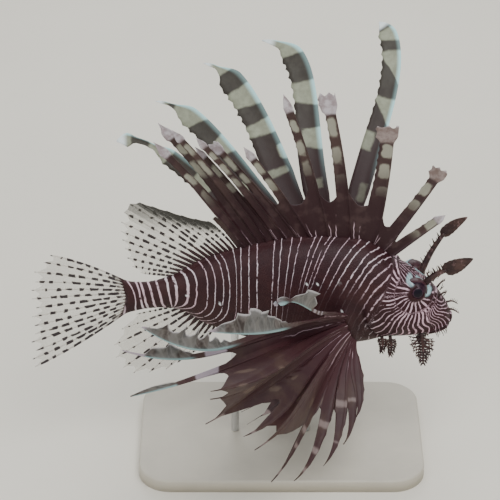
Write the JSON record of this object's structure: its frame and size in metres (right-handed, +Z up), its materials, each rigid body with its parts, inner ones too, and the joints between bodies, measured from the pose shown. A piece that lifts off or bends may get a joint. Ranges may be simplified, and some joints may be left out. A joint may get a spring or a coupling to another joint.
{
  "type": "red lionfish",
  "caption": "Still life-size model of a lionfish with fanned pectoral fins and long dorsal spines, held over a flat base by two rods.",
  "frame": {"origin": "middle of the stand base's underside, on the floor", "axes": "+X towards the snout, +Y the fish's left side, +Z up"},
  "size_m": [0.2874, 0.3209, 0.2668],
  "materials": {
    "skin": "satin skin, dark maroon with thin pale pink lines",
    "spine_fin": "satin, dark brown spines with pale bands and pinkish tips",
    "pectoral_fin": "satin, brown and pale grey bands with pale blue-white edges",
    "clear_fin": "thin clear fin with dark spots along the rays",
    "eye": "glossy dark eye",
    "stand_plate": "matt pale warm grey paint",
    "stand_steel": "brushed"
  },
  "bodies": {
    "root": {"anal_fin": "clear_fin", "barbel_left_1": "skin", "barbel_left_2": "skin", "barbel_left_3": "skin", "barbel_right_1": "skin", "barbel_right_2": "skin", "barbel_right_3": "skin", "brow_tentacle_left": "skin", "brow_tentacle_right": "skin", "dorsal_fin_soft": "clear_fin", "dorsal_fin_spines": "spine_fin", "eye_left": "eye", "eye_right": "eye", "gill_cover_left": "skin", "gill_cover_right": "skin", "head": "skin", "lower_jaw": "skin", "nasal_feeler_left": "skin", "nasal_feeler_right": "skin", "pectoral_fin_left": "pectoral_fin", "pectoral_fin_right": "pectoral_fin", "pelvic_fin_left": "pectoral_fin", "pelvic_fin_right": "pectoral_fin", "snout_feeler_left": "skin", "snout_feeler_right": "skin", "stand_base": "stand_plate", "stand_rod_back": "stand_steel", "stand_rod_front": "stand_steel", "tail_fin": "clear_fin", "tail_stock": "skin", "trunk": "skin"}
  },
  "joints": []
}
